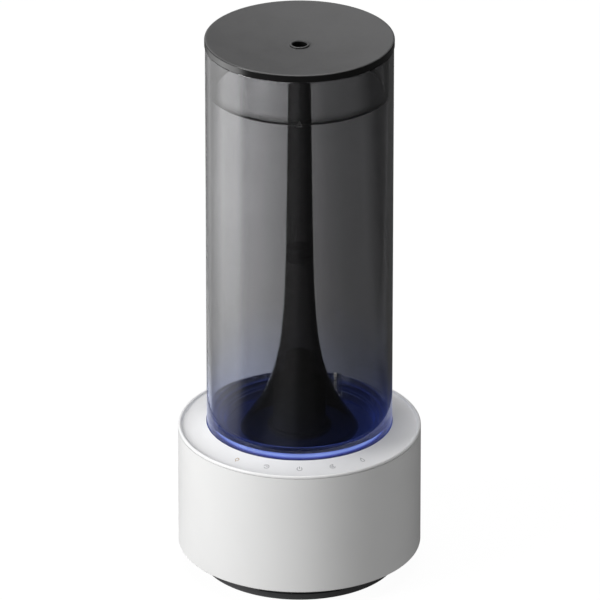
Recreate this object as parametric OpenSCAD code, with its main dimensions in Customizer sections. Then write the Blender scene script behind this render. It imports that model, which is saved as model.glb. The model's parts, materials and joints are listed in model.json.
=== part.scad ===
// Cool mist humidifier. A round base holds the fan, the driver board and a water basin with an
// ultrasonic disc. A clear tank lifts off it, with a trumpet-shaped mist tube and a lid in its top.
// Millimetres. The origin is the centre of the footprint on the table, +Z is up and -Y is the front.

/* [Base] */
// Outer diameter of the base shell
base_d = 145; // [145:1:150]
// Height of the base shell's lower edge above the table
base_low = 12.4; // [12.0:0.2:12.8]
// Height of the seam between the base shell and the top panel
seam_z = 87.6; // [87.2:0.1:87.8]
// Wall thickness of the base shell
base_wall = 2.4; // [2.0:0.2:2.6]
// Height of the rounded bead around the touch panel above the seam
bead_h = 1.6; // [1.4:0.1:1.8]
// Rise of the touch panel from its bead to the tank
panel_rise = 3.4; // [2.4:0.2:3.6]
// Outer diameter of the dark foot drum
foot_d = 118; // [115:0.5:119]
// Number of air slots in each window of the foot
slots_per_window = 11; // [7:2:13]
// Half the angle that each window of the foot spans
window_half = 25; // [20:1:27]

/* [Controls and light] */
// Number of touch keys on the front of the panel
key_count = 5; // [3:2:5]
// Angle from one touch key to the next
key_step = 18.3; // [16:0.1:19]
// Distance of the touch keys from the centre
key_r = 62; // [61:0.5:63]
// Number of lamps under the light ring
led_count = 12; // [6:1:16]
// Height of the light ring's top edge
light_top = 94.4; // [92.4:0.2:94.4]

/* [Tank] */
// Outer diameter of the tank
tank_d = 110.4; // [110.2:0.1:110.6]
// Wall thickness of the tank
tank_wall = 2.6; // [2.5:0.1:2.6]
// Height of the tank's rim above the table
tank_top = 334.3; // [290:1:360]

/* [Mist tube] */
// Radius of the mist tube at its top end
tube_r = 6.4; // [6.4:0.1:7]
// Growth of the tube's radius for each millimetre downwards
tube_taper = 0.0125; // [0.01:0.0005:0.013]
// How far the trumpet flares out at its rim
flare = 25.8; // [25:0.1:26]
// Height over which the flare dies away
flare_len = 28.7; // [27:0.1:29]
// Sharpness of the flare: 1 is a plain decay
flare_power = 1.17; // [1.1:0.01:1.2]
// Wall thickness of the mist tube
tube_wall = 1.2; // [1:0.1:1.3]

/* [Lid] */
// Height of the lid's side band
lid_band = 4.4; // [4:0.2:6]
// Depth of the dish in the lid's top
lid_dish = 5; // [4:0.2:5]
// Length of the clear skirt inside the tank
skirt_len = 27.2; // [20:0.2:30]
// Diameter of the mist outlet
outlet_d = 8.8; // [8:0.2:9]

/* [Fan] */
// Width of the square fan
fan_w = 50; // [46:1:50]
// Number of fan blades
blade_count = 7; // [5:1:9]

/* [Hidden] */
$fn = 96;
eps = 0.05;
base_r = base_d / 2;
base_in = base_r - base_wall;
top_r = base_r - 0.14;            // base shell and panel at their seam
foot_r = foot_d / 2;
foot_wall = 2.4;
foot_in = foot_r - foot_wall;
grille_in = foot_in - 1.8;
tank_r = tank_d / 2;
tank_in = tank_r - tank_wall;
gap = 0.3;                        // clearance between bodies that come apart

// Heights in the base
pad_h = 1.6;                      // rubber feet
foot_low = 0.8;                   // underside of the foot
foot_plate_top = 2.8;
window_low = 4.4;                 // air windows of the foot
window_high = 12.4;
filter_low = 9.2;                 // air filter
filter_top = 12.2;
plate_z = 13;                     // underside of the chassis plate
plate_top = 15.4;
board_z = 22;                     // underside of both circuit boards
board_t = 1.6;
clamp_low = 56.4;                 // clamp under the ultrasonic disc
disc_low = 58.2;                  // ultrasonic disc
disc_top = 59.4;
basin_low = 60;                   // underside of the basin floor
basin_floor = 62;
basin_top = 91.4;
flange_z = 75;                    // underside of the basin's flange
flange_top = 77;
post_top = 79.5;                  // top of the float's post
touch_z = 80;                     // underside of the touch board
touch_top = touch_z + board_t;
light_low = 80.6;                 // lower edge of the light ring
seat_z = flange_top + 0.7;        // top of the gasket under the tank
tank_low = seat_z + gap;

// Radii in the base
plate_r = 69.7;
boss_ring = 65;                   // screw bosses of the base shell
panel_boss_ring = 62.5;           // screw bosses of the top panel
foot_boss_ring = 49;              // screw bosses of the foot
pad_ring = 44;                    // rubber feet
pad_r = 5.5;
clamp_ring = 14.5;                // screws of the disc's clamp
disc_r = 10;
flange_out = 66;
socket_in = 55.6;                 // well in the panel that the tank stands in
socket_out = 57.9;
bead_r = 1.1;
lip_in = 69.6;                    // valley between the panel and its bead
valley_z = seam_z + 0.4;
panel_t = 2.2;
basin_in = 47;
basin_out = 48.6;
light_out = 50.6;
lamp_r = 50.1;
led_board_t = 1.2;
boss_angles = [45, 135, 225, 315];
panel_boss_angles = [30, 150, 210, 330];
foot_boss_angles = [60, 120, 240, 300];
window_angles = [0, 90, 180, 270];
clamp_angles = [90, 210, 330];

// Screws: radius of the shank, the head and the boss
big_shank = 1.5;
big_head = 3;
big_boss = 4.5;
small_shank = 1.2;
small_head = 2.3;
small_boss = 3.5;
clamp_shank = 1;
clamp_head = 1.9;

// Air path, float and outlet valve
fan_at = [-28, 9];
fan_h = 15;
fan_bore = fan_w / 2 - 1.6;
hub_r = 10;
spindle_r = 1.5;
riser_in = 7;
riser_out = 8.6;
riser_top = 81;
riser_plug = 6;                   // how far the riser reaches down into the duct
duct_z = plate_top + fan_h;
float_at = [26, -14];
float_post_r = 2;
sensor_h = 4;
valve_r = 39.9;
valve_angle = 57;                 // right of the rear, so clear of the front view
valve_at = valve_r * [cos(valve_angle), sin(valve_angle)];
valve_hole_r = 2.2;
valve_stem_r = 0.9;
cage_top = 104;
valve_post_top = 82;
valve_open = 3.2;                 // how far the post holds the plunger up

// Tank floor and mist guide
ledge_z = 94.3;
ledge_in = 44.7;
hood_in = 48.2;                   // channel under the tank floor for the light ring
well_z = 87.5;
floor_t = 1.8;
guide_r = 15.6;
guide_neck_r = 8.2;
guide_seal_t = 0.6;
guide_flange_r = 19;
guide_top = 135;

// Mist tube and lid
rim_z = 87.8;
tube_top = tank_top - 3.2;
join_z = 201;
sleeve_h = 9;
sleeve_out = 6.9;
sleeve_in = 5.9;
lid_r = 55.6;
lid_low = tank_top + gap;
lid_top = lid_low + lid_band;
skirt_out = tank_in - 0.4;
skirt_in = skirt_out - 1.9;
outlet_r = outlet_d / 2;
stem_r = outlet_r + 0.5;          // outside of the nozzle's stem

// USB-C inlet
usb_w = 8.94;
usb_h = 3.26;
usb_z = board_z + board_t + usb_h / 2;
usb_face = base_r - 1.4;

// Driver board, with its centre right of the middle
driver_at = [33, 5];
driver_size = [44, 70];
driver_posts = [[15, -26], [51, -26], [15, 36], [51, 36]];
usb_posts = [[-7, 54], [7, 54]];
led_lead_at = 50.3 * [cos(-55), sin(-55)];

function trumpet(z) =
    tube_r + tube_taper * (tube_top - z) + flare * exp(-pow((z - rim_z) / flare_len, flare_power));
function panel_height(r) =
    valley_z + panel_rise * pow((lip_in - r) / (lip_in - socket_in), 2);
function dish_height(r) = lid_top - lid_dish + lid_dish * pow(r / (lid_r - 1.2), 1.7);
function arc(c, r, a0, a1, n) =
    [for (i = [0:n]) c + r * [cos(a0 + (a1 - a0) * i / n), sin(a0 + (a1 - a0) * i / n)]];
function steps(z0, z1, n) = [for (i = [0:n]) z0 + (z1 - z0) * i / n];
function reverse(list) = [for (i = [len(list) - 1:-1:0]) list[i]];

module ring(r_in, r_out, z0, z1) {
    translate([0, 0, z0]) difference() {
        cylinder(r = r_out, h = z1 - z0);
        translate([0, 0, -eps]) cylinder(r = r_in, h = z1 - z0 + 2 * eps);
    }
}

module disc(r, z0, z1) {
    translate([0, 0, z0]) cylinder(r = r, h = z1 - z0);
}

module at(angle, r) {
    rotate([0, 0, angle]) translate([r, 0, 0]) children();
}

module box(low, high) {
    translate(low) cube(high - low);
}

// A wedge of the space around the Z axis, for cutting windows and arcs
module wedge(middle, half, z0, z1) {
    reach = 100;
    rotate([0, 0, middle]) translate([0, 0, z0]) linear_extrude(z1 - z0)
        polygon([[0, 0], [reach, -reach * tan(half)], [reach, reach * tan(half)]]);
}

// A screw driven upwards, with its head's underside at z0 and a cross recess in the head
module screw_up(z0, head_r, head_h, shank_r, length) {
    slot_w = head_r * 0.35;
    slot_l = head_r * 1.2;
    difference() {
        union() {
            disc(head_r, z0, z0 + head_h);
            disc(shank_r, z0 + head_h - eps, z0 + head_h + length);
        }
        for (a = [0, 90])
            rotate([0, 0, a])
                box([-slot_l / 2, -slot_w / 2, z0 - eps], [slot_l / 2, slot_w / 2, z0 + head_h * 0.5]);
    }
}

// A flat bar with round ends, along Y
module stadium(width, height, y0, y1) {
    r = height / 2;
    union() {
        box([-width / 2 + r, y0, -r], [width / 2 - r, y1, r]);
        for (x = [-width / 2 + r, width / 2 - r])
            translate([x, y0, 0]) rotate([-90, 0, 0]) cylinder(r = r, h = y1 - y0, $fn = 32);
    }
}

// Directions along a path, and across it without twist, for sweeping a round section
function unit(v) = v / norm(v);
function along(p, i) = unit(p[min(i + 1, len(p) - 1)] - p[max(i - 1, 0)]);
function across(p, i, last) =
    i == len(p) ? [] : let (t = along(p, i), u = unit(last - (last * t) * t))
        concat([u], across(p, i + 1, u));
function rounded(p) = concat([p[0]],
    [for (i = [0:len(p) - 2], f = [0.25, 0.75]) p[i] * (1 - f) + p[i + 1] * f], [p[len(p) - 1]]);

// A round wire swept along a path
module swept(p, r, sides) {
    n = len(p);
    us = across(p, 0, [0.36, 0.48, 0.8]);
    polyhedron(
        points = [for (i = [0:n - 1], j = [0:sides - 1])
            p[i] + r * (cos(j * 360 / sides) * us[i] + sin(j * 360 / sides) * cross(along(p, i), us[i]))],
        faces = concat(
            [[for (j = [0:sides - 1]) j]],
            [[for (j = [sides - 1:-1:0]) (n - 1) * sides + j]],
            [for (i = [0:n - 2], j = [0:sides - 1]) let (k = (j + 1) % sides)
                [i * sides + j, (i + 1) * sides + j, (i + 1) * sides + k, i * sides + k]]));
}

// A coil spring around the Z axis
module spring(coil_r, wire_r, z0, z1, turns) {
    per_turn = 12;
    n = turns * per_turn;
    low = z0 + wire_r;
    high = z1 - wire_r;
    swept([for (i = [0:n]) [coil_r * cos(i * 360 / per_turn), coil_r * sin(i * 360 / per_turn),
                            low + (high - low) * i / n]], wire_r, 8);
}

module lead(points) {
    swept(rounded(rounded(points)), 0.7, 8);
}

// ---------------------------------------------------------------- base

module base_shell() {
    shoulder = 0.8;
    groove = 0.4;
    groove_depth = 0.9;
    boss_h = 22;
    screw_depth = 16;
    color("whitesmoke") difference() {
        union() {
            rotate_extrude() polygon(concat(
                [[base_in, base_low]],
                arc([base_r - shoulder, base_low + shoulder], shoulder, -90, 0, 4),
                [[top_r, seam_z - groove], [top_r - groove_depth, seam_z - groove],
                 [top_r - groove_depth, seam_z], [base_in, seam_z]]));
            for (a = boss_angles) at(a, boss_ring) {
                disc(big_boss, plate_top, plate_top + boss_h);
                box([3, -1.5, plate_top], [base_in - boss_ring + 0.4, 1.5, plate_top + boss_h]);
            }
        }
        for (a = boss_angles)
            at(a, boss_ring) disc(big_shank, plate_top - eps, plate_top + screw_depth);
        translate([0, 0, usb_z]) stadium(usb_w + 0.8, usb_h + 0.8, base_in - 3, base_r + 1);
    }
}

module top_panel() {
    tongue_out = base_in - gap;
    tongue_in = tongue_out - 1.3;
    tongue_low = seam_z - 5;
    boss_top = valley_z - 0.4;
    color("white") difference() {
        union() {
            rotate_extrude() polygon(concat(
                [[socket_in, flange_top]],
                [for (r = steps(socket_in, lip_in, 10)) [r, panel_height(r)]],
                arc([top_r - bead_r, seam_z + bead_h - bead_r], bead_r, 165, 0, 11),
                [[top_r, seam_z], [tongue_out, seam_z], [tongue_out, tongue_low],
                 [tongue_in, tongue_low]],
                [for (r = steps(tongue_in, socket_out, 8)) [r, panel_height(r) - panel_t]],
                [[socket_out, flange_top]]));
            for (a = panel_boss_angles) at(a, panel_boss_ring) disc(small_boss, flange_top, boss_top);
            for (k = [-1.5, 1.5])
                at(270 + k * key_step, key_r - 1.5) disc(1.8, touch_top, boss_top);
        }
        for (a = panel_boss_angles)
            at(a, panel_boss_ring) disc(small_shank, flange_top - eps, flange_top + 8);
    }
}

module plinth() {
    peg_top = board_z + board_t + 0.8;
    color([0.2, 0.2, 0.21]) difference() {
        union() {
            ring(foot_in, foot_r, foot_low, plate_z + eps);
            disc(plate_r, plate_z, plate_top);
            for (a = foot_boss_angles)
                at(a, foot_boss_ring) disc(small_boss, foot_plate_top, plate_z + eps);
            for (p = concat(driver_posts, usb_posts)) translate(p) {
                disc(2.3, plate_top - eps, board_z);
                disc(small_shank, board_z - eps, peg_top);
            }
        }
        for (a = window_angles) wedge(a, window_half, window_low, window_high);
        translate(fan_at) disc(fan_bore, plate_z - 1, plate_top + 1);
        for (a = foot_boss_angles) at(a, foot_boss_ring) disc(small_shank, 2, 11);
        for (a = boss_angles) at(a, boss_ring) {
            disc(big_shank, plate_z - 1, plate_top + 1);
            disc(big_head + 0.2, plate_z - 1, plate_z + 1.2);
        }
    }
}

module intake_grille() {
    slot_w = 2.2;
    slot_step = 2 * (window_half - 3) / (slots_per_window - 1);
    color([0.13, 0.13, 0.14]) difference() {
        ring(grille_in, foot_in, foot_plate_top, plate_z);
        for (a = window_angles, i = [0:slots_per_window - 1])
            at(a + (i - (slots_per_window - 1) / 2) * slot_step, grille_in - 2)
                box([0, -slot_w / 2, window_low + 0.6], [8, slot_w / 2, window_high - 0.8]);
    }
}

module foot_plate() {
    color([0.18, 0.18, 0.19]) difference() {
        disc(foot_in - gap, foot_low, foot_plate_top);
        for (a = foot_boss_angles) at(a, foot_boss_ring) {
            disc(small_shank, 0, 4);
            disc(small_head + 0.2, 0, 1.8);
        }
        for (a = boss_angles) at(a, pad_ring) disc(pad_r, 0, pad_h);
    }
}

module rubber_foot(n) {
    color([0.1, 0.1, 0.1]) at(boss_angles[n], pad_ring) disc(pad_r, 0, pad_h);
}

module base_screws() {
    color("silver") for (a = boss_angles)
        at(a, boss_ring) screw_up(plate_z + 0.1, big_head, 1.1, big_shank, 15);
}

module foot_screws() {
    color("silver") for (a = foot_boss_angles)
        at(a, foot_boss_ring) screw_up(0.9, small_head, 0.9, small_shank, 8);
}

module filter_frame() {
    floor_z = filter_low - 1.2;
    color([0.25, 0.25, 0.26]) translate(fan_at) difference() {
        disc(fan_bore, floor_z, plate_z);
        disc(fan_bore - 2, filter_low, plate_z + 1);
        disc(fan_bore - 3.5, floor_z - 1, filter_low + 0.8);
    }
}

module air_filter() {
    color("lightsteelblue") translate(fan_at) disc(fan_bore - 2, filter_low, filter_top);
}

module fan_frame() {
    half = fan_w / 2;
    hole = half - 4;
    color([0.15, 0.15, 0.15]) translate(fan_at) difference() {
        box([-half, -half, plate_top], [half, half, duct_z]);
        disc(fan_bore, plate_top - 1, duct_z + 1);
        for (x = [-hole, hole], y = [-hole, hole])
            translate([x, y]) disc(1.6, plate_top - 1, duct_z + 1);
    }
}

module fan_stator() {
    z0 = duct_z - 2;
    color([0.3, 0.3, 0.3]) translate(fan_at) union() {
        disc(hub_r + 0.5, z0, duct_z);
        disc(spindle_r, plate_top + 4, z0 + eps);
        for (a = [0:90:270])
            rotate([0, 0, a]) intersection() {
                box([hub_r - 1, -1.2, z0], [fan_w, 1.2, duct_z]);
                disc(fan_bore, z0 - 1, duct_z + 1);
            }
    }
}

module fan_rotor() {
    z0 = plate_top + 1.2;
    z1 = duct_z - 2.4;
    root_r = hub_r - 1;
    blade_tilt = 38;
    color([0.1, 0.1, 0.1]) translate(fan_at) difference() {
        union() {
            disc(hub_r, z0, z1);
            for (i = [0:blade_count - 1])
                rotate([0, 0, i * 360 / blade_count]) intersection() {
                    translate([root_r, 0, (z0 + z1) / 2]) rotate([blade_tilt, 0, 0])
                        box([0, -0.7, -6.5], [20, 0.7, 6.5]);
                    ring(root_r, fan_bore - 0.8, z0 + 0.3, z1 - 0.3);
                }
        }
        disc(spindle_r + 0.06, plate_top + 3.6, z1 + 1);
    }
}

module air_duct() {
    half = fan_w / 2;
    wall = 1.6;
    neck = riser_out + wall;
    cone_h = 18;
    neck_z = duct_z + 2 + cone_h;
    color([0.85, 0.85, 0.85]) translate(fan_at) difference() {
        union() {
            box([-half, -half, duct_z], [half, half, duct_z + 2]);
            translate([0, 0, duct_z + 2 - eps]) cylinder(r1 = half - 1.2, r2 = neck, h = cone_h);
            disc(neck, neck_z - 2 * eps, basin_low);
        }
        translate([0, 0, duct_z - eps]) cylinder(r1 = half - 1.2 - wall, r2 = riser_in, h = cone_h + 2);
        disc(riser_in, neck_z - 1, basin_low + 1);
        disc(riser_out, basin_low - riser_plug, basin_low + 1);
    }
}

module driver_board() {
    half = driver_size / 2;
    color("darkgreen") difference() {
        box([driver_at[0] - half[0], driver_at[1] - half[1], board_z],
            [driver_at[0] + half[0], driver_at[1] + half[1], board_z + board_t]);
        for (p = driver_posts) translate(p) disc(small_shank, board_z - 1, board_z + 3);
    }
}

// The tall parts on the driver board: capacitors, a coil, the controller and the plug headers
module board_parts() {
    z0 = board_z + board_t;
    color([0.16, 0.16, 0.18]) {
        for (y = [-18, -8]) translate([20, y]) disc(4, z0, z0 + 11);
        translate([22, 6]) difference() {
            disc(6.5, z0, z0 + 7);
            disc(2.5, z0 + 1.5, z0 + 8);
        }
        box([34, 12, z0], [43, 21, z0 + 1.4]);
        box([32, 28, z0], [35, 33, z0 + 1.2]);
        for (i = [0:3]) box([19 + 8 * i, -29.6, z0], [25 + 8 * i, -26.9, z0 + 5]);
        for (i = [0:1]) box([12, 14 + 10 * i, z0], [15, 21 + 10 * i, z0 + 5]);
    }
}

module heat_sink() {
    z0 = board_z + board_t;
    low = [36, -16];
    size = [14, 18];
    fins = 6;
    fin_t = 1.2;
    fin_step = (size[1] - fin_t) / (fins - 1);
    color("silver") translate(low) {
        box([0, 0, z0], [size[0], size[1], z0 + 2]);
        for (i = [0:fins - 1])
            box([0, fin_step * i, z0 + 2 - eps], [size[0], fin_step * i + fin_t, z0 + 11]);
    }
}

module usb_board() {
    color("darkgreen") difference() {
        box([-10, 50, board_z], [10, base_in - 1.5, board_z + board_t]);
        for (p = usb_posts) translate(p) disc(small_shank, board_z - 1, board_z + 3);
    }
}

module usb_socket() {
    wall = 0.3;
    color("silver") translate([0, 0, usb_z]) union() {
        difference() {
            stadium(usb_w, usb_h, usb_face - 7.4, usb_face);
            stadium(usb_w - 2 * wall, usb_h - 2 * wall, usb_face - 6.4, usb_face + 1);
        }
        box([-3.3, usb_face - 6.5, -0.35], [3.3, usb_face - 1, 0.35]);
    }
}

module water_basin() {
    color([0.9, 0.9, 0.92]) difference() {
        union() {
            difference() {
                disc(basin_out, basin_low, basin_top);
                disc(basin_in, basin_floor, basin_top + 1);
            }
            ring(basin_out - eps, flange_out, flange_z, flange_top);
            translate(fan_at) disc(riser_out, basin_low - riser_plug, riser_top);
            translate(float_at) disc(float_post_r, basin_floor - eps, post_top);
            translate(valve_at) disc(2.6, basin_floor - eps, valve_post_top);
            for (a = clamp_angles) at(a, clamp_ring) disc(2.4, disc_low, basin_low + eps);
        }
        disc(9, basin_low - 1, basin_floor + 1);
        translate(fan_at) disc(riser_in, basin_low - riser_plug - 1, riser_top + 1);
        for (a = clamp_angles) at(a, clamp_ring) disc(clamp_shank, disc_low - 0.2, basin_floor - 0.8);
        for (a = panel_boss_angles)
            at(a, panel_boss_ring) disc(small_shank, flange_z - 1, flange_top + 1);
        translate(led_lead_at) disc(1.2, flange_z - 1, flange_top + 1);
    }
}

module seat_gasket() {
    color([0.8, 0.8, 0.8]) ring(tank_in - 0.2, socket_in - 0.2, flange_top, seat_z);
}

module chassis_screws() {
    color("silver") for (a = panel_boss_angles)
        at(a, panel_boss_ring) screw_up(flange_z - 1.5, small_head, 1.5, small_shank, 9);
}

module led_board() {
    color("darkgreen") ring(basin_out + 0.2, light_out + 1.2, flange_top, flange_top + led_board_t);
}

module leds() {
    z0 = flange_top + led_board_t;
    color("white") for (i = [0:led_count - 1])
        at((i + 0.5) * 360 / led_count, lamp_r) box([-1, -1.75, z0], [1, 1.75, z0 + 1.4]);
}

module light_ring() {
    color([0.45, 0.6, 1]) ring(basin_out, light_out, light_low, light_top);
}

module touch_board() {
    span = key_step * (key_count - 1) / 2 + 9;
    color("darkgreen") intersection() {
        ring(58.5, 67.5, touch_z, touch_top);
        wedge(270, span, touch_z - 1, touch_top + 1);
    }
}

module touch_springs() {
    coil_r = 2.6;
    top = panel_height(key_r + coil_r + 0.4) - panel_t;
    color("silver") for (k = [0:key_count - 1])
        at(270 + (k - (key_count - 1) / 2) * key_step, key_r) spring(coil_r, 0.35, touch_top, top, 4);
}

module transducer_disc() {
    color("goldenrod") disc(disc_r, disc_low, disc_top);
}

module transducer_seal() {
    color([0.75, 0.25, 0.2]) rotate_extrude()
        polygon([[disc_r - 1.5, basin_low], [disc_r + 2, basin_low], [disc_r + 2, disc_low],
                 [disc_r, disc_low], [disc_r, disc_top], [disc_r - 1.5, disc_top]]);
}

module transducer_clamp() {
    color("silver") difference() {
        disc(clamp_ring + 2.7, clamp_low, disc_low);
        disc(disc_r - 2, clamp_low - 1, disc_low + 1);
        for (a = clamp_angles) at(a, clamp_ring) disc(clamp_shank, clamp_low - 1, disc_low + 1);
    }
}

module clamp_screws() {
    head_h = 1.4;
    color("silver") for (a = clamp_angles)
        at(a, clamp_ring) screw_up(clamp_low - head_h, clamp_head, head_h, clamp_shank, 4.8);
}

module float_sensor() {
    color([0.2, 0.2, 0.22]) translate(float_at) box([-7, -4, basin_low - sensor_h], [7, 4, basin_low]);
}

module float_cap() {
    color("white") translate(float_at) disc(2 * float_post_r, post_top, post_top + 1.5);
}

module float() {
    color("ivory") translate(float_at) ring(float_post_r + 0.4, 9, basin_floor + 0.4, basin_floor + 8.6);
}

// Insulated leads from the plug headers on the driver board to the parts that it feeds
module wiring() {
    gap = 0.05;
    board_top = board_z + board_t;
    z = board_top + 5 + gap;
    fan_side = fan_at[0] + fan_w / 2 + gap;
    color("crimson") {
        lead([[13.5, 17.5, z], [13.5, 17.5, 33], [5, 20, 33], [1, 22, 26], [fan_side, 22, 26]]);
        lead([[13.5, 27.5, z], [13.5, 27.5, 33], [6, 40, 31], [2, 53, 28], [2, 53, board_top + gap]]);
        lead([[22, -28.2, z], [22, -28.2, 36], [8, -16, 46], [0, -5, 54], [0, -5, disc_low - gap]]);
        lead([[30, -28.2, z], [30, -28.2, 36], [28, -20, 46], [26, -14, 51],
              [26, -14, basin_low - sensor_h - gap]]);
        lead([[38, -28.2, z], [38, -28.2, 36], [36, -38, 50], [31, -41, 66],
              [led_lead_at[0], led_lead_at[1], 72], [led_lead_at[0], led_lead_at[1], flange_top - gap]]);
        lead([[46, -28.2, z], [46, -28.2, 36], [38, -50, 50], [33.7, -58.3, 66], [33.4, -57.8, 74],
              [33.4, -57.8, touch_z - gap]]);
    }
}

// ---------------------------------------------------------------- tank

module tank_shell() {
    edge = 0.8;
    color([0.35, 0.35, 0.38, 0.4]) rotate_extrude() polygon(concat(
        [[tank_in, tank_low], [tank_r - edge, tank_low], [tank_r, tank_low + edge]],
        arc([tank_r - edge, tank_top - edge], edge, 0, 90, 4),
        [[tank_in, tank_top]]));
}

module tank_floor() {
    drop_out = ledge_in + floor_t;
    ledge_low = ledge_z - 1.9;
    floor_low = well_z - floor_t;
    hood_low = light_top + 0.4;
    hood_z = hood_low + floor_t;
    color([0.4, 0.42, 0.48, 0.5]) difference() {
        rotate_extrude() polygon([
            [guide_r, well_z], [ledge_in - 0.5, well_z], [ledge_in, well_z + 0.5],
            [ledge_in, ledge_z - 0.6], [ledge_in + 0.6, ledge_z], [drop_out, ledge_z],
            [hood_in - 1, hood_z - 0.4], [hood_in - 0.6, hood_z], [light_out + 0.4, hood_z],
            [tank_in - 0.8, hood_z + 2], [tank_in, hood_z + 2], [tank_in, hood_low],
            [hood_in, hood_low], [hood_in, ledge_low], [drop_out, ledge_low],
            [drop_out, floor_low], [guide_r, floor_low]]);
        translate(valve_at) disc(valve_hole_r, floor_low - 1, well_z + 1);
    }
}

module guide_seal() {
    color([0.15, 0.15, 0.15]) ring(guide_r, guide_flange_r, well_z, well_z + guide_seal_t);
}

// The stepped guide that leads the mist up into the trumpet. It snaps into the tank floor from above.
module mist_guide() {
    wall = 1.6;
    body = guide_r - 0.2;
    flange = well_z + guide_seal_t;
    snap = well_z - floor_t - 0.3;
    low = 83;
    shoulder = 116.5;
    inner_neck = guide_neck_r - wall;
    color([0.1, 0.1, 0.11]) rotate_extrude() polygon([
        [body, low], [body, snap - 1], [body + 0.5, snap - 0.6], [body + 0.5, snap], [body, snap],
        [body, flange], [guide_flange_r, flange], [guide_flange_r, flange + wall],
        [guide_r, flange + wall], [guide_r, shoulder], [guide_r - 0.8, shoulder + 1.9],
        [guide_neck_r + 3, shoulder + 5], [guide_neck_r + 1.1, shoulder + 8.2],
        [guide_neck_r + 0.6, guide_top - 6], [guide_neck_r, guide_top], [inner_neck, guide_top],
        [inner_neck + 0.6, guide_top - 6], [inner_neck + 1.1, shoulder + 7.5],
        [inner_neck + 3.2, shoulder + 4], [guide_r - 2.4, shoulder + 0.5],
        [body - wall, shoulder - 0.5], [body - wall, low]]);
}

module valve_cage() {
    outer = 4.3;
    inner = 3.3;
    window_w = 2.6;
    color([0.8, 0.85, 0.9, 0.5]) translate(valve_at) difference() {
        disc(outer, well_z, cage_top);
        disc(inner, well_z - 1, cage_top - 1.2);
        disc(valve_stem_r + gap, cage_top - 2, cage_top + 1);
        for (a = [0, 90])
            rotate([0, 0, a]) box([-5, -window_w / 2, well_z + 1], [5, window_w / 2, well_z + 10]);
    }
}

module valve_plunger() {
    head = well_z + valve_open;
    color("white") translate(valve_at) union() {
        disc(valve_stem_r, valve_post_top + gap, cage_top + 2);
        disc(2.9, head, head + 1.4);
    }
}

module valve_seal() {
    head = well_z + valve_open;
    color([0.1, 0.1, 0.1]) translate(valve_at) ring(valve_stem_r, valve_hole_r + 0.5, head - 0.9, head);
}

module valve_spring() {
    color("silver") translate(valve_at) spring(2.3, 0.3, well_z + valve_open + 1.4, cage_top - 1.2, 6);
}

// ---------------------------------------------------------------- mist tube

module tube_lower() {
    n = 22;
    heights = [for (i = [0:n]) rim_z + (join_z - rim_z) * pow(i / n, 1.6)];
    below = join_z - sleeve_h / 2 - 2;
    color([0.09, 0.09, 0.1]) rotate_extrude() polygon(concat(
        [for (z = heights) [trumpet(z), z]],
        [[sleeve_out, join_z], [sleeve_out, below]],
        reverse([for (z = heights) if (z < below) [trumpet(z) - tube_wall, z]])));
}

module tube_upper() {
    above = join_z + sleeve_h / 2 + 2;
    color([0.09, 0.09, 0.1]) rotate_extrude() polygon([
        [trumpet(join_z), join_z], [trumpet(join_z + 30), join_z + 30],
        [trumpet(tube_top - 60), tube_top - 60], [trumpet(tube_top), tube_top],
        [trumpet(tube_top) - tube_wall, tube_top],
        [trumpet(above) - tube_wall, above], [sleeve_out, above], [sleeve_out, join_z]]);
}

module tube_coupler() {
    color([0.05, 0.05, 0.05]) ring(sleeve_in, sleeve_out, join_z - sleeve_h / 2, join_z + sleeve_h / 2);
}

module bell_seal() {
    seal_h = 0.6;
    r = trumpet(rim_z + seal_h) - tube_wall - 0.05;
    color([0.1, 0.1, 0.1]) ring(r - 2.4, r, rim_z, rim_z + seal_h);
}

// ---------------------------------------------------------------- lid

module lid_cover() {
    edge = 1;
    shell = 2.4;
    under = skirt_in - 1.5;
    flat_r = 6.5;
    boss = dish_height(0) - 2;
    color([0.25, 0.25, 0.26]) rotate_extrude() polygon(concat(
        [[stem_r, boss], [stem_r, dish_height(0)], [flat_r, dish_height(0)]],
        [for (r = steps(9, lid_r - 1.2, 12)) [r, dish_height(r)]],
        arc([lid_r - edge, lid_top - edge], edge, 90, 0, 4),
        [[lid_r, lid_low], [under, lid_low], [under - 1.5, lid_low + 0.6]],
        [for (r = steps(under - 4, 9, 8)) [r, max(boss, dish_height(r) - shell)]]));
}

module lid_skirt() {
    color([0.3, 0.3, 0.32, 0.4]) ring(skirt_in, skirt_out, lid_low - skirt_len, lid_low);
}

module lid_seal() {
    z = lid_low - skirt_len;
    color([0.2, 0.2, 0.2]) ring(skirt_in, skirt_out + 0.1, z - 0.8, z);
}

module nozzle() {
    z = dish_height(0);
    lip = 5.8;
    stem_h = 12;
    color([0.16, 0.16, 0.17]) rotate_extrude() polygon(concat(
        [[outlet_r, z - stem_h], [stem_r, z - stem_h], [stem_r, z], [lip, z]],
        arc([lip - 0.4, z + 0.5], 0.4, 0, 90, 3),
        [[outlet_r + 0.4, z + 0.9], [outlet_r, z + 0.4]]));
}

module nozzle_gasket() {
    z = dish_height(0) - 2;
    color([0.1, 0.1, 0.1]) ring(stem_r, stem_r + 2.5, z - 0.6, z);
}

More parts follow.
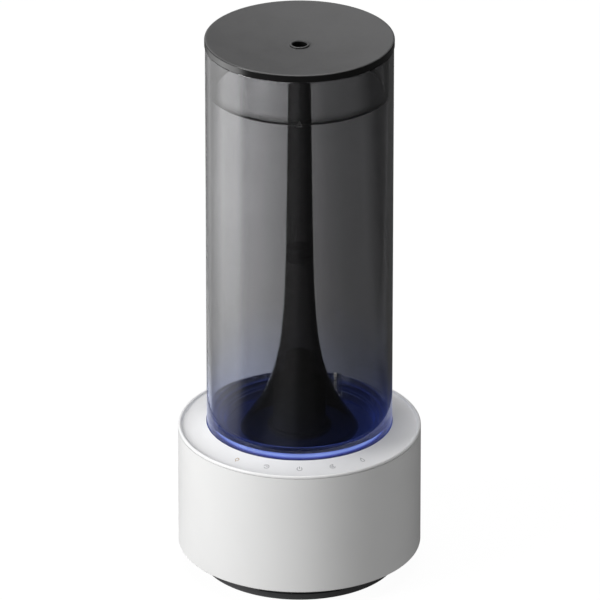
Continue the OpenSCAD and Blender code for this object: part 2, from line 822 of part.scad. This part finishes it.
base_shell();
top_panel();
plinth();
intake_grille();
foot_plate();
rubber_foot(0);  // rubber_foot_1
rubber_foot(1);  // rubber_foot_2
rubber_foot(2);  // rubber_foot_3
rubber_foot(3);  // rubber_foot_4
base_screws();
foot_screws();
filter_frame();
air_filter();
fan_frame();
fan_stator();
fan_rotor();
air_duct();
driver_board();
board_parts();
heat_sink();
usb_board();
usb_socket();
water_basin();
seat_gasket();
chassis_screws();
led_board();
leds();
light_ring();
touch_board();
touch_springs();
transducer_disc();
transducer_seal();
transducer_clamp();
clamp_screws();
float_sensor();
float_cap();
float();
wiring();
tank_shell();
tank_floor();
guide_seal();
mist_guide();
valve_cage();
valve_spring();
valve_plunger();
valve_seal();
tube_lower();
tube_upper();
tube_coupler();
bell_seal();
lid_cover();
lid_skirt();
lid_seal();
nozzle();
nozzle_gasket();
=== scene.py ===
"""Cool mist humidifier: looks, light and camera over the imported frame.

Metres. +Z is up and -Y is the front."""
import json
import math

import bmesh
import bpy
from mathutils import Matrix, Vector
from mathutils.bvhtree import BVHTree


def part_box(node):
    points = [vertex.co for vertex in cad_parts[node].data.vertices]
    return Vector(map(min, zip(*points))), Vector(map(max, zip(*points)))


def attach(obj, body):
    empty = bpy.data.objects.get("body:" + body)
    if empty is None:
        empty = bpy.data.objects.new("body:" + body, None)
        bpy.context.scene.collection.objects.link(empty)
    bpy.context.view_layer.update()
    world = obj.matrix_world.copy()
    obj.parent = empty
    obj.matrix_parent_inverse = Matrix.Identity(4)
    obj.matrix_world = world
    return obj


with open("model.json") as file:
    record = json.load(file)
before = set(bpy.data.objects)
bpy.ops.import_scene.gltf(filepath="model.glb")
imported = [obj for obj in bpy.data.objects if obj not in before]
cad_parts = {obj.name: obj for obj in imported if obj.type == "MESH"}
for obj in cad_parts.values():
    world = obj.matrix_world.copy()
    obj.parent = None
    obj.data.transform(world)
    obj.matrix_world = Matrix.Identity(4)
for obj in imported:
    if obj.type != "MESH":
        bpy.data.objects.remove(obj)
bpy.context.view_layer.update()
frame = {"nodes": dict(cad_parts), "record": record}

MM = 0.001
NODES = frame["nodes"]


# ---------------------------------------------------------------- shader helpers

# The index of refraction of plastics, and the roughness of a polished one
PLASTIC = 1.49
POLISH = 0.16
# The least cosine that the light's path through a wall is lengthened for
LEAST_SLANT = 0.3


class Finish:
    """A new material's node tree, with short calls for the nodes that the finishes share."""

    def __init__(self, name):
        self.mat = bpy.data.materials.new(name)
        self.mat.use_nodes = True
        self.tree = self.mat.node_tree
        self.tree.nodes.clear()
        self.out = self.add("OutputMaterial")
        self.place = self.add("TexCoord").outputs["Object"]

    def add(self, kind, props=None, inputs=None):
        """A shader node of this kind, with its properties set and its inputs fed."""
        n = self.tree.nodes.new("ShaderNode" + kind)
        for key, value in (props or {}).items():
            setattr(n, key, value)
        for key, value in (inputs or {}).items():
            self.feed(n.inputs[key], value)
        return n

    def feed(self, socket, value):
        """Links another node's output to the socket, or sets the socket's own value."""
        if isinstance(value, bpy.types.NodeSocket):
            self.tree.links.new(value, socket)
        elif isinstance(value, tuple) and len(value) == 3 and socket.type == "RGBA":
            socket.default_value = (*value, 1.0)
        else:
            socket.default_value = value

    def math(self, operation, a, b=0.0):
        return self.add("Math", {"operation": operation}, {0: a, 1: b}).outputs[0]

    def noise(self, size, detail=2.0, stretch=None):
        """Noise from 0 to 1 with features about this many metres across.

        stretch multiplies the place on each axis, so a high value packs the features closer."""
        place = self.place
        if stretch:
            stretched = self.add("VectorMath", {"operation": "MULTIPLY"}, {0: place, 1: stretch})
            place = stretched.outputs[0]
        n = self.add("TexNoise", None, {"Vector": place, "Scale": 1 / size, "Detail": detail})
        return n.outputs["Fac"]

    def spread(self, value, low, high, start=0.3, end=0.7):
        """The value moved from start..end to low..high, and held between them."""
        return self.add("MapRange", None, {
            "Value": value, "From Min": start, "From Max": end,
            "To Min": low, "To Max": high}).outputs[0]

    def blend(self, factor, a, b):
        """A colour between a and b."""
        n = self.add("Mix", {"data_type": "RGBA"}, {0: factor, 6: a, 7: b})
        return n.outputs[2]

    def height(self):
        """Height above the table, in metres."""
        return self.add("SeparateXYZ", None, {0: self.place}).outputs[2]

    def slanted(self, colour, ior):
        """The colour that light keeps on its way through a wall, which is longer at a slant."""
        facing = self.add("LayerWeight", None, {"Blend": 0.5}).outputs["Facing"]
        across = self.math("SUBTRACT", 1.0, facing)
        sine_squared = self.math("SUBTRACT", 1.0, self.math("POWER", across, 2.0))
        bent = self.math("DIVIDE", sine_squared, ior ** 2)
        within = self.math("SQRT", self.math("SUBTRACT", 1.0, bent))
        leaving = self.add("NewGeometry").outputs["Backfacing"]
        slant = self.add("Mix", None, {0: leaving, 2: within, 3: across}).outputs[0]
        longer = self.math("DIVIDE", 1.0, self.math("MAXIMUM", slant, LEAST_SLANT))
        return self.add("Gamma", None, {"Color": colour, "Gamma": longer}).outputs[0]

    def bump(self, height, depth):
        """The normal over a surface whose height varies by this many metres."""
        inputs = {"Height": height, "Strength": 1.0, "Distance": depth}
        return self.add("Bump", None, inputs).outputs[0]

    def profile(self, value, points):
        """A curve from 0 to 1 through (value, level) points."""
        low, high = points[0][0], points[-1][0]
        ramp = self.add("ValToRGB", None, {0: self.spread(value, 0, 1, low, high)})
        stops = ramp.color_ramp.elements
        for i, (at, level) in enumerate(points):
            stop = stops[i] if i < 2 else stops.new(1.0)
            stop.position = (at - low) / (high - low)
            stop.color = (level, level, level, 1.0)
        return ramp.outputs[0]

    def curve(self, value, points):
        """A curve through (value, level) points whose levels may be above 1."""
        top = max(level for _, level in points)
        shares = [(at, level / top) for at, level in points]
        return self.math("MULTIPLY", self.profile(value, shares), top)

    def done(self, shader):
        """Puts the shader on the surface."""
        self.tree.links.new(shader.outputs[0], self.out.inputs["Surface"])
        return self.mat


def tinted(colour, share):
    """The colour made lighter or darker by a share."""
    return tuple(min(1.0, c * (1 + share)) for c in colour)


def moulded(name, colour, rough, grain, depth, vary, coat=0.0):
    """Moulded plastic: a fine spark-eroded grain, slight flow clouds and handling wear in the gloss.

    The grain and its depth are in millimetres. vary is the share that the colour wanders by."""
    f = Finish(name)
    clouds = f.noise(0.03, 3)
    colours = f.blend(f.spread(clouds, 0, 1), tinted(colour, -vary), tinted(colour, vary))
    gloss = f.spread(f.noise(0.012, 4), rough - 0.05, rough + 0.05)
    normal = f.bump(f.noise(grain * MM, 1), depth * MM)
    sockets = {"Base Color": colours, "Roughness": gloss, "Normal": normal, "IOR": PLASTIC}
    if coat:
        sockets["Coat Weight"] = coat
        sockets["Coat Roughness"] = 0.08
    return f.done(f.add("BsdfPrincipled", None, sockets))


def rubber(name, colour):
    """Rubber: matt, dusty and slightly uneven."""
    f = Finish(name)
    dust = f.spread(f.noise(0.004, 4), 0, 1, 0.45, 0.75)
    colours = f.blend(dust, colour, tinted(tuple(c + 0.02 for c in colour), 0.2))
    normal = f.bump(f.noise(0.25 * MM, 2), 0.012 * MM)
    return f.done(f.add("BsdfPrincipled", None, {
        "Base Color": colours, "Roughness": f.spread(dust, 0.6, 0.8, 0, 1), "Normal": normal}))


def metal(name, colour, rough, along=(1, 1, 12)):
    """Drawn or brushed metal: fine streaks, with stains in the gloss."""
    f = Finish(name)
    streaks = f.noise(0.6 * MM, 2, along)
    colours = f.blend(streaks, tinted(colour, -0.12), tinted(colour, 0.08))
    normal = f.bump(streaks, 0.004 * MM)
    gloss = f.spread(f.noise(0.003, 3), rough - 0.08, rough + 0.1)
    return f.done(f.add("BsdfPrincipled", None, {
        "Base Color": colours, "Metallic": 1.0, "Roughness": gloss, "Normal": normal}))


def circuit(name, mask):
    """A circuit board: solder mask over copper tracks, with tinned pads."""
    f = Finish(name)
    cells = f.add("TexVoronoi", {"feature": "DISTANCE_TO_EDGE", "distance": "MANHATTAN"},
                  {"Vector": f.place, "Scale": 260.0}).outputs["Distance"]
    tracks = f.spread(cells, 1, 0, 0.05, 0.09)
    pads = f.spread(f.add("TexVoronoi", None, {"Vector": f.place, "Scale": 420.0}).outputs["Distance"],
                    1, 0, 0.16, 0.2)
    colours = f.blend(pads, f.blend(tracks, mask, tinted(mask, 0.9)), (0.6, 0.6, 0.58))
    normal = f.bump(tracks, 0.03 * MM)
    return f.done(f.add("BsdfPrincipled", None, {
        "Base Color": colours, "Metallic": pads, "Roughness": 0.35, "Normal": normal}))


def felt(name, colour):
    """Filter fleece: matted fibres, a little grey where the air has come through."""
    f = Finish(name)
    fibres = f.noise(0.5 * MM, 6, (1, 1, 3))
    dust = f.spread(f.noise(0.008, 3), 0, 1)
    colours = f.blend(dust, f.blend(fibres, tinted(colour, -0.2), colour), (0.45, 0.45, 0.43))
    normal = f.bump(fibres, 0.15 * MM)
    return f.done(f.add("BsdfPrincipled", None, {
        "Base Color": colours, "Roughness": 0.95, "Sheen Weight": 0.3, "Normal": normal}))


def clear(name, tint, rough=0.02, lamp=None, edge=None, glow=None, ior=PLASTIC):
    """Clear or smoked plastic. lamp is the share of lamp light that each wall lets through.

    edge is (tint, height, end height): the tint below the first height, fading out up to the second.
    glow is painted light: an emission that stands in for the light scattered in the wall there,
    strongest where the wall is seen at a slant."""
    f = Finish(name)
    swirl = f.noise(0.05, 2)
    colours = f.blend(f.spread(swirl, 0, 1), tinted(tint, -0.02), tinted(tint, 0.02))
    sockets = {"Roughness": rough, "IOR": ior, "Transmission Weight": 1.0,
               "Normal": f.bump(f.noise(0.02, 1), 0.004 * MM)}
    if edge:
        edge_tint, low, high = edge
        near = f.add("MapRange", {"interpolation_type": "SMOOTHSTEP"}, {
            "Value": f.height(), "From Min": low, "From Max": high,
            "To Min": 1.0, "To Max": 0.0}).outputs[0]
        colours = f.blend(near, colours, edge_tint)
        if glow:
            # On the tank this emission is painted light from the light ring; the wall itself is no
            # lamp
            facing = f.add("LayerWeight", None, {"Blend": 0.5}).outputs["Facing"]
            sockets["Emission Color"] = glow
            sockets["Emission Strength"] = f.math("MULTIPLY", f.math("POWER", near, 3.0),
                                                  f.math("POWER", facing, 2.0))
    glass = f.add("BsdfPrincipled", None, {"Base Color": f.slanted(colours, ior), **sockets})
    let_through = lamp or math.sqrt(tint[0])
    shade = f.add("BsdfTransparent", None, {"Color": (let_through,) * 3})
    path = f.add("LightPath")
    mixed = f.add("MixShader", None, {0: path.outputs["Is Shadow Ray"]})
    f.tree.links.new(glass.outputs[0], mixed.inputs[1])
    f.tree.links.new(shade.outputs[0], mixed.inputs[2])
    return f.done(mixed)


# The light ring: its brightness by height in metres, and by distance from the axis
LIGHT_BAND = [(0.0896, 0.05), (0.0903, 0.15), (0.0909, 0.4), (0.0915, 0.8),
              (0.0921, 1.0), (0.0928, 0.95), (0.0935, 0.75), (0.0944, 0.5)]
OUTER_FROM = 0.0496
OUTER_FULL = 0.0504
INNER_SHARE = 0.1
FIRST_LAMP = math.radians(15)
LAMP_WAVE = 0.07
PURE_BLUE = (0.01, 0.03, 1.0)
UNLIT_BLUE = (0.1, 0.12, 0.3)


def glowing(name, colour, strength, lamps):
    """A light guide whose outer face shines in a band, a little brighter over each lamp.

    The band is purest blue where it is weak. The inner face only glimmers."""
    f = Finish(name)
    axes = f.add("SeparateXYZ", None, {0: f.place})
    turn = f.math("ARCTAN2", axes.outputs[1], axes.outputs[0])
    wave = f.math("COSINE", f.math("MULTIPLY", f.math("SUBTRACT", turn, FIRST_LAMP), lamps))
    power = f.spread(wave, strength * (1 - LAMP_WAVE), strength * (1 + LAMP_WAVE), -1, 1)
    squares = [f.math("POWER", axes.outputs[i], 2.0) for i in (0, 1)]
    outward = f.math("SQRT", f.math("ADD", *squares))
    outer = f.spread(outward, INNER_SHARE, 1, OUTER_FROM, OUTER_FULL)
    band = f.profile(axes.outputs[2], LIGHT_BAND)
    power = f.math("MULTIPLY", power, f.math("MULTIPLY", outer, band))
    frost = f.noise(0.4 * MM, 2)
    unlit = f.blend(frost, tinted(UNLIT_BLUE, -0.1), tinted(UNLIT_BLUE, 0.1))
    return f.done(f.add("BsdfPrincipled", None, {
        "Base Color": unlit, "Roughness": 0.5,
        "Emission Color": f.blend(band, PURE_BLUE, colour), "Emission Strength": power,
        "Normal": f.bump(frost, 0.01 * MM)}))


def lid_plastic(name, top, side):
    """The lid: fine matt grain on its dish and polished round its side, whose colour is painted shade,
    far darker than the dish and chosen by the surface's slope.
    """
    f = Finish(name)
    facing = f.add("SeparateXYZ", None, {0: f.add("TexCoord").outputs["Normal"]}).outputs[2]
    up = f.spread(facing, 0, 1, 0.4, 0.95)
    clouds = f.spread(f.noise(0.03, 3), 0, 1)
    dish = f.blend(clouds, tinted(top, -0.04), tinted(top, 0.04))
    matt = f.math("MULTIPLY", f.spread(f.noise(0.012, 4), 0.48, 0.58), up)
    polished = f.math("MULTIPLY", f.math("SUBTRACT", 1.0, up), POLISH)
    gloss = f.math("ADD", matt, polished)
    normal = f.bump(f.noise(0.35 * MM, 1), 0.004 * MM)
    return f.done(f.add("BsdfPrincipled", None, {
        # The side's near-black colour is painted shade, picked by how far the surface faces up
        "Base Color": f.blend(up, side, dish), "Roughness": gloss, "IOR": PLASTIC, "Normal": normal}))


# ---------------------------------------------------------------- finishes

WHITE = (0.80, 0.80, 0.795)
BLUE = (0.39, 0.52, 1.0)
SMOKE = (0.33, 0.33, 0.335)
# The tank's wall near the light ring: a bluer tint and a glow, both painted light from the ring, and
# where both begin and end
PAINTED_RING_TINT = (0.31, 0.335, 0.42)
PAINTED_RING_GLOW = (0.013, 0.032, 0.2)
TANK_LOW = 0.088
TANK_EDGE = 0.062
# The lid's skirt is darker at its lower edge
SKIRT_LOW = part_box("lid_skirt")[0][2]
SKIRT_EDGE = 0.005

FINISHES = {
    "shell_white": moulded("shell_white", WHITE, 0.42, 0.3, 0.004, 0.012),
    "panel_white": moulded("panel_white", (0.83, 0.83, 0.83), 0.36, 0.3, 0.003, 0.01),
    "foot_grey": moulded("foot_grey", (0.06, 0.06, 0.062), 0.55, 0.5, 0.02, 0.08),
    "grille_black": moulded("grille_black", (0.02, 0.02, 0.021), 0.6, 0.4, 0.015, 0.1),
    "fan_black": moulded("fan_black", (0.025, 0.025, 0.025), 0.45, 0.4, 0.01, 0.1),
    "duct_grey": moulded("duct_grey", (0.5, 0.5, 0.5), 0.5, 0.5, 0.012, 0.05),
    "basin_white": moulded("basin_white", (0.72, 0.73, 0.76), 0.35, 0.4, 0.006, 0.03),
    "float_white": moulded("float_white", (0.82, 0.8, 0.74), 0.6, 0.6, 0.03, 0.04),
    "parts_black": moulded("parts_black", (0.03, 0.03, 0.034), 0.5, 0.3, 0.01, 0.15),
    "guide_black": moulded("guide_black", (0.03, 0.03, 0.035), 0.3, 0.5, 0.004, 0.1),
    # The second colour, for the lid's side, is painted shade
    "lid_grey": lid_plastic("lid_grey", (0.095, 0.095, 0.096), (0.006, 0.006, 0.006)),
    "lead_red": moulded("lead_red", (0.55, 0.04, 0.03), 0.4, 0.5, 0.006, 0.06),
    "lamp_white": moulded("lamp_white", (0.9, 0.9, 0.85), 0.3, 0.3, 0.004, 0.03, coat=0.5),
    "foot_rubber": rubber("foot_rubber", (0.03, 0.03, 0.03)),
    "seal_black": rubber("seal_black", (0.02, 0.02, 0.021)),
    "seal_red": rubber("seal_red", (0.5, 0.09, 0.06)),
    "gasket_grey": rubber("gasket_grey", (0.4, 0.4, 0.42)),
    "screw_steel": metal("screw_steel", (0.62, 0.62, 0.63), 0.3),
    "socket_steel": metal("socket_steel", (0.55, 0.55, 0.56), 0.28, (1, 8, 1)),
    "spring_steel": metal("spring_steel", (0.7, 0.7, 0.7), 0.2),
    "sink_aluminium": metal("sink_aluminium", (0.75, 0.75, 0.76), 0.4, (6, 1, 1)),
    "disc_brass": metal("disc_brass", (0.75, 0.58, 0.3), 0.35, (1, 1, 1)),
    "board_green": circuit("board_green", (0.015, 0.16, 0.06)),
    "filter_fibre": felt("filter_fibre", (0.75, 0.79, 0.84)),
    "light_blue": glowing("light_blue", BLUE, 1.8, 12),
    # Near its bottom the tank carries a bluer tint and a glow that are painted light from the light
    # ring
    "tank_smoke": clear("tank_smoke", SMOKE, lamp=0.75,
                        edge=(PAINTED_RING_TINT, TANK_LOW, TANK_LOW + TANK_EDGE), glow=PAINTED_RING_GLOW),
    "tube_black": clear("tube_black", (0.25, 0.25, 0.25), rough=0.05, ior=1.12),
    "skirt_smoke": clear("skirt_smoke", (0.93, 0.93, 0.93),
                         edge=((0.4, 0.4, 0.4), SKIRT_LOW, SKIRT_LOW + SKIRT_EDGE)),
    "cage_clear": clear("cage_clear", (0.85, 0.88, 0.92)),
}
# Nodes whose finish is not their slot's
OWN_FINISH = {"lid_seal": clear("seal_clear", (0.2, 0.2, 0.2), rough=0.3)}


def dress_nodes():
    """Gives each CAD node the finish of its slot in the record."""
    for part in frame["record"]["subparts"]:
        obj = NODES[part["node"]]
        obj.data.materials.clear()
        obj.data.materials.append(OWN_FINISH.get(part["node"], FINISHES[part["material_slot"]]))


# ---------------------------------------------------------------- printed signs

# The signs stand over the touch keys, this far from the axis and this far apart
KEY_RING = 0.062
KEY_STEP = math.radians(18.3)
# The width of a printed line, and how far the ink stands above its surface
SIGN_LINE = 0.00042
SIGN_RISE = 0.00004
# Above the panel, where a look down on it begins
LOOK_FROM = 0.12
# The level triangle: its height on the tank, its size, and the inner outline's share of the outer
MARK_AT = 0.3084
MARK_WIDE = 0.0036
MARK_HIGH = 0.0042
MARK_INNER = 0.55


def arc_points(centre, radius, start, end, steps=14):
    """Points on an arc. Angles are in degrees, anticlockwise from the right."""
    angles = [math.radians(start + (end - start) * i / steps) for i in range(steps + 1)]
    return [(centre[0] + radius * math.cos(a), centre[1] + radius * math.sin(a)) for a in angles]


def drop_outline(width, height, steps=20):
    """A water drop with its point up."""
    outline = []
    for i in range(steps + 1):
        a = 2 * math.pi * i / steps
        outline.append((width * math.sin(a) * math.sin(a / 2) ** 1.5, height * math.cos(a)))
    return outline


# Each sign is a list of line strips, in millimetres, seen with the front edge of the panel below
SIGNS = {
    "sign_power": [arc_points((0, 0), 1.5, 125, 415), [(0, 0.1), (0, 2.0)]],
    "sign_timer": [arc_points((0, 0), 1.5, 150, -150), [(-1.9, 0.9), (-1.3, 0.75), (-1.1, 1.4)],
                   [(0, 0.9), (0, 0), (0.7, 0)]],
    "sign_mode": [arc_points((0, 0), 1.5, 60, 360), [(0.2, 1.0), (0.8, 1.3), (0.5, 1.9)],
                  arc_points((0, 0), 0.5, 0, 360, 10)],
    "sign_mist": [drop_outline(1.5, 1.6)],
    "sign_lamp": [arc_points((0, 0.35), 1.05, -60, 240), [(-0.5, -0.95), (0.5, -0.95)],
                  [(-0.3, -1.4), (0.3, -1.4)]],
}


def panel_height_at(tree, x, y):
    """Height of the top panel's surface, found by looking straight down on its mesh."""
    hit = tree.ray_cast(Vector((x, y, LOOK_FROM)), Vector((0, 0, -1)))
    return hit[0].z


def make_sign(name, strips, turn, finish, tree):
    """Prints one sign on the panel, turned about the axis: flat strips that follow its surface."""
    bm = bmesh.new()
    for strip in strips:
        closed = (Vector(strip[0]) - Vector(strip[-1])).length < 1e-6
        points = strip[:-1] if closed else strip
        rows = []
        for i, point in enumerate(points):
            before = points[i - 1] if closed or i else points[i]
            after = points[(i + 1) % len(points)] if closed or i < len(points) - 1 else points[i]
            along = (Vector(after) - Vector(before)).normalized()
            side = Vector((-along.y, along.x)) * SIGN_LINE / 2
            row = []
            for edge in (side, -side):
                across = point[0] * MM + edge.x
                out = KEY_RING - point[1] * MM - edge.y
                x = out * math.sin(turn) + across * math.cos(turn)
                y = -out * math.cos(turn) + across * math.sin(turn)
                row.append(bm.verts.new((x, y, panel_height_at(tree, x, y) + SIGN_RISE)))
            rows.append(row)
        pairs = list(zip(rows, rows[1:])) + ([(rows[-1], rows[0])] if closed else [])
        for a, b in pairs:
            bm.faces.new((a[0], a[1], b[1], b[0]))
    bmesh.ops.recalc_face_normals(bm, faces=bm.faces)
    mesh = bpy.data.meshes.new(name)
    bm.to_mesh(mesh)
    bm.free()
    if sum(p.normal.z for p in mesh.polygons) < 0:
        mesh.flip_normals()
    mesh.materials.append(finish)
    sign = bpy.data.objects.new(name, mesh)
    bpy.context.scene.collection.objects.link(sign)
    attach(sign, "base")


def make_level_mark():
    """A small triangle outline on the tank's front: the highest water level.

    The inner outline is the outer one made smaller about the triangle's centroid."""
    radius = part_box("tank_shell")[1][0] + SIGN_RISE
    corners = [(0, MARK_HIGH / 2), (-MARK_WIDE / 2, -MARK_HIGH / 2), (MARK_WIDE / 2, -MARK_HIGH / 2)]
    bm = bmesh.new()
    rows = []
    for share in (1.0, MARK_INNER):
        row = []
        for x, z in corners:
            turn = x * share / radius
            height = MARK_AT + z * share - MARK_HIGH / 6 * (1 - share)
            row.append(bm.verts.new((radius * math.sin(turn), -radius * math.cos(turn), height)))
        rows.append(row)
    for i in range(3):
        k = (i + 1) % 3
        bm.faces.new((rows[0][i], rows[0][k], rows[1][k], rows[1][i]))
    mesh = bpy.data.meshes.new("level_mark")
    bm.to_mesh(mesh)
    bm.free()
    if sum(p.normal.y for p in mesh.polygons) > 0:
        mesh.flip_normals()
    mesh.materials.append(moulded("ink_mark", (0.05, 0.05, 0.05), 0.6, 0.2, 0.002, 0.05))
    mark = bpy.data.objects.new("level_mark", mesh)
    bpy.context.scene.collection.objects.link(mark)
    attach(mark, "tank")


def make_signs():
    """Prints the five signs on the panel in a row, the middle one at the front."""
    panel = NODES["top_panel"]
    tree = BVHTree.FromObject(panel, bpy.context.evaluated_depsgraph_get())
    ink = moulded("ink_grey", (0.33, 0.33, 0.34), 0.5, 0.2, 0.002, 0.05)
    amber = moulded("ink_amber", (0.42, 0.27, 0.13), 0.5, 0.2, 0.002, 0.05)
    order = ["sign_lamp", "sign_timer", "sign_power", "sign_mode", "sign_mist"]
    for i, name in enumerate(order):
        make_sign(name, SIGNS[name], (i - 2) * KEY_STEP, amber if i == 0 else ink, tree)


# ---------------------------------------------------------------- studio

# The point that every lamp faces
LAMP_AIM = Vector((0, 0, 0.15))


def softbox(name, place, size, power):
    """A rectangular soft lamp that is aimed at the object."""
    data = bpy.data.lights.new(name, "AREA")
    data.shape = "RECTANGLE"
    data.size, data.size_y = size
    data.energy = power
    lamp = bpy.data.objects.new(name, data)
    lamp.location = place
    lamp.rotation_mode = "QUATERNION"
    lamp.rotation_quaternion = (LAMP_AIM - Vector(place)).to_track_quat("-Z", "Y")
    bpy.context.scene.collection.objects.link(lamp)


# How bright the floor behind the tank looks through its walls, by the distance to the right in metres
BEHIND = [(-0.2, 1.0), (-0.12, 3.3), (-0.07, 3.5), (-0.045, 3.35), (-0.025, 2.2), (0.0, 1.2),
          (0.009, 1.02), (0.017, 0.88), (0.025, 0.72), (0.038, 0.6), (0.045, 0.58), (0.07, 0.62),
          (0.11, 0.12), (0.2, 0.1)]
# How bright the room looks in mirrors, by the angle to the right of the front
AROUND = [(-180, 0.03), (-160, 0.06), (-150, 0.2), (-142, 0.5), (-127, 1.2), (-118, 1.7),
          (-111, 2.4), (-104, 3.2), (-82, 3.5), (-77, 3.0), (-72, 1.6), (-68, 0.6), (-62, 0.05),
          (0, 0.03), (110, 0.03), (180, 0.03)]
# The floor as the camera sees it, as it lights the object, and its share of lamp light
FLOOR_SEEN = 0.97
FLOOR_LIGHT = 0.4
FLOOR_MATT = 0.05
# Low and high share of the painted level, and where each is reached in metres
FRONT_DIM = (0.25, 1, -0.02, 0.05)
NEAR_DIM = (0.15, 1, 0.22, 0.58)
FLOOR_REACH = 8.0
FLOOR_DROP = 0.0002


def make_floor():
    """A white floor that shines. Through the tank's walls and in mirrors it is as bright as if a large
    soft lamp lit it from the left and rear, and it is dark to the front."""
    mesh = bpy.data.meshes.new("floor")
    corners = [(x * FLOOR_REACH, y * FLOOR_REACH, 0) for x, y in ((-1, -1), (1, -1), (1, 1), (-1, 1))]
    mesh.from_pydata(corners, [], [(0, 1, 2, 3)])
    floor = bpy.data.objects.new("floor", mesh)
    floor.location.z = -FLOOR_DROP
    bpy.context.scene.collection.objects.link(floor)
    f = Finish("floor_white")
    axes = f.add("SeparateXYZ", None, {0: f.place})
    x, y = axes.outputs[0], axes.outputs[1]
    turn = f.math("ARCTAN2", x, f.math("MULTIPLY", y, -1.0))
    path = f.add("LightPath")
    mirrored = f.curve(turn, [(math.radians(angle), level) for angle, level in AROUND])
    away = f.add("VectorMath", {"operation": "LENGTH"}, {0: f.place}).outputs["Value"]
    mirrored = f.math("MULTIPLY", mirrored, f.spread(away, *NEAR_DIM))
    through = f.math("MULTIPLY", f.curve(x, BEHIND), f.spread(y, *FRONT_DIM))
    seen = f.blend(path.outputs["Is Diffuse Ray"], mirrored, (FLOOR_LIGHT,) * 3)
    seen = f.blend(path.outputs["Is Transmission Ray"], seen, through)
    seen = f.blend(path.outputs["Is Camera Ray"], seen, (FLOOR_SEEN,) * 3)
    glow = f.add("Emission", None, {"Color": seen})
    matt = f.add("BsdfDiffuse", None, {"Color": (FLOOR_MATT,) * 3})
    both = f.add("AddShader")
    f.tree.links.new(glow.outputs[0], both.inputs[0])
    f.tree.links.new(matt.outputs[0], both.inputs[1])
    mesh.materials.append(f.done(both))


# How strongly the room's grey lights the object, against 1 where the camera sees it
ROOM_LIGHT = 0.02


def make_world():
    """A plain room that is bright to the camera and almost dark to the object."""
    world = bpy.data.worlds.new("studio")
    bpy.context.scene.world = world
    world.use_nodes = True
    tree = world.node_tree
    tree.nodes.clear()
    out = tree.nodes.new("ShaderNodeOutputWorld")
    sky = tree.nodes.new("ShaderNodeBackground")
    path = tree.nodes.new("ShaderNodeLightPath")
    level = tree.nodes.new("ShaderNodeMapRange")
    level.inputs["To Min"].default_value = ROOM_LIGHT
    level.inputs["To Max"].default_value = 1.0
    tree.links.new(path.outputs["Is Camera Ray"], level.inputs["Value"])
    tree.links.new(level.outputs[0], sky.inputs["Strength"])
    tree.links.new(sky.outputs[0], out.inputs["Surface"])


def make_lights():
    """Soft lamps: where each is, its two sides in metres, and its power in watts."""
    softbox("key", (-2.17, -1.06, 1.12), (1.4, 1.4), 66)
    softbox("top", (-0.05, 0.1, 2.4), (1.6, 1.6), 34)
    softbox("fill", (0.82, -2.27, 1.12), (1.3, 1.3), 8)
    softbox("rear", (-1.2, 2.0, 1.37), (1.8, 1.0), 5)


# The camera's slope, its distance from its aim in metres, its aim, lens in millimetres and shift
CAMERA_TILT = math.radians(25.28)
CAMERA_AWAY = 4.7755
CAMERA_AIM = Vector((0, 0, 0.1698))
CAMERA_LENS = 484.4
CAMERA_SHIFT = 0.0008


def make_camera():
    """A long lens, looking down at the object's middle."""
    data = bpy.data.cameras.new("camera")
    data.sensor_width = 36
    data.lens = CAMERA_LENS
    data.shift_x = CAMERA_SHIFT
    data.clip_start, data.clip_end = 0.1, 50
    camera = bpy.data.objects.new("camera", data)
    outward = Vector((0, -math.cos(CAMERA_TILT), math.sin(CAMERA_TILT)))
    camera.location = CAMERA_AIM + CAMERA_AWAY * outward
    camera.rotation_euler = (math.pi / 2 - CAMERA_TILT, 0, 0)
    bpy.context.scene.collection.objects.link(camera)
    bpy.context.scene.camera = camera


bpy.context.scene.view_settings.view_transform = "Standard"
dress_nodes()
make_signs()
make_level_mark()
make_floor()
make_world()
make_lights()
make_camera()
